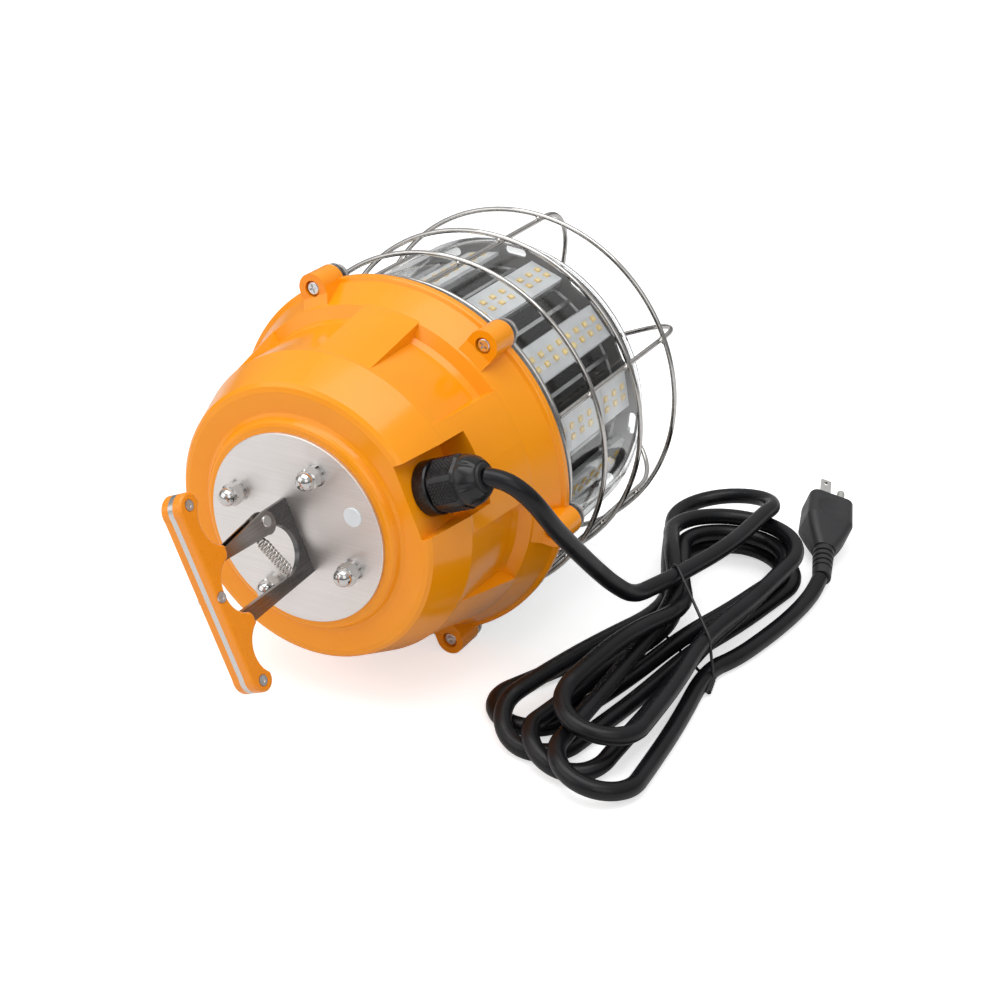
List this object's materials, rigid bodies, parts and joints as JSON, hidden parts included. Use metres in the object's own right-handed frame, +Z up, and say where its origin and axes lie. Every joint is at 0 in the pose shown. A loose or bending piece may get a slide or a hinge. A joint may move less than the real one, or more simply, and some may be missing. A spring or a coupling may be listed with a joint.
{
  "type": "caged work light",
  "caption": "Hanging LED work light: orange bell housing, clear drum lens in a wire cage, carrying hook with a sprung gate, and a coiled mains lead with its plug.",
  "frame": {"origin": "on the floor under the middle of the lamp, without its lead", "axes": "+Y along the lamp's axis from the hook to the end of the cage, +Z up, as the lamp lies on its side"},
  "size_m": [0.3009, 0.4008, 0.2],
  "materials": {
    "housing_orange": "glossy moulded orange with a fine moulded surface",
    "plate_steel": "finely brushed stainless sheet",
    "breather_white": "translucent white cap",
    "fastener_steel": "plain stainless",
    "fastener_chrome": "polished stainless",
    "hook_steel": "brushed stainless, dark where it reflects the shaded housing",
    "grip_orange": "semi-gloss orange nylon",
    "rivet_steel": "tumbled bright rivet",
    "gate_steel": "pressed stainless",
    "spring_steel": "bright spring wire",
    "gland_nylon": "satin black nylon",
    "seal_rubber": "black sealing insert",
    "cord_pvc": "satin black cable jacket",
    "gasket_rubber": "pale silicone gasket",
    "lens_clear": "clear moulded polycarbonate",
    "engine_aluminium": "milled aluminium",
    "sink_dark": "dark anodised extrusion",
    "end_dark": "dark moulded cover",
    "driver_aluminium": "plain aluminium case",
    "terminal_plastic": "white terminal strip",
    "chip_yellow": "yellow phosphor under clear resin",
    "board_white": "white solder mask",
    "cage_steel": "bright plated wire",
    "screw_steel": "plated screw",
    "tie_plastic": "black twist tie",
    "plug_pvc": "satin black moulded plug",
    "pin_brass": "nickel-plated pins"
  },
  "bodies": {
    "lamp": {"top_housing": "housing_orange", "mount_plate": "plate_steel", "breather_plug": "breather_white", "plate_studs": "fastener_steel", "flat_washers": "fastener_steel", "lock_washers": "fastener_steel", "acorn_nuts": "fastener_chrome", "hook_plate": "hook_steel", "grip_left": "grip_orange", "grip_right": "grip_orange", "grip_rivets": "rivet_steel", "gate_spring": "spring_steel", "gland_body": "gland_nylon", "gland_locknut": "gland_nylon", "gland_nut": "gland_nylon", "gland_seal": "seal_rubber", "cord_entry": "cord_pvc", "housing_gasket": "gasket_rubber", "lens_drum": "lens_clear", "engine_base": "engine_aluminium", "heat_sink": "sink_dark", "end_plate": "end_dark", "driver_case": "driver_aluminium", "driver_bracket": "engine_aluminium", "terminal_block": "terminal_plastic", "led_chips": "chip_yellow", "cage_feet": "cage_steel", "boss_screws": "screw_steel", "cord_free": "cord_pvc", "cord_hank": "cord_pvc", "cord_tie": "tie_plastic", "plug_body": "plug_pvc", "plug_strain_relief": "plug_pvc", "plug_blades": "pin_brass", "plug_ground_pin": "pin_brass", "led_board_01": "board_white", "led_board_02": "board_white", "led_board_03": "board_white", "led_board_04": "board_white", "led_board_05": "board_white", "led_board_06": "board_white", "led_board_07": "board_white", "led_board_08": "board_white", "led_board_09": "board_white", "led_board_10": "board_white", "led_board_11": "board_white", "led_board_12": "board_white", "cage_wire_1": "cage_steel", "cage_wire_2": "cage_steel", "cage_wire_3": "cage_steel", "cage_wire_4": "cage_steel", "cage_wire_5": "cage_steel", "cage_wire_6": "cage_steel", "cage_ring_front": "cage_steel", "cage_ring_middle": "cage_steel", "cage_ring_rear": "cage_steel", "cage_base_ring": "cage_steel", "cage_end_ring": "cage_steel"},
    "gate": {"hook_gate": "gate_steel", "gate_rivet": "rivet_steel"}
  },
  "joints": [
    {"name": "gate_pivot", "type": "hinge", "parent": "lamp", "child": "gate", "pos_m": [-0.00492, -0.1187, 0.1116], "axis": [0.9205, 0, 0.3907], "range_deg": [0, 40], "stiffness_Nm_per_rad": 0.02, "springref_deg": -28.65, "deforming": ["gate_spring"]}
  ]
}
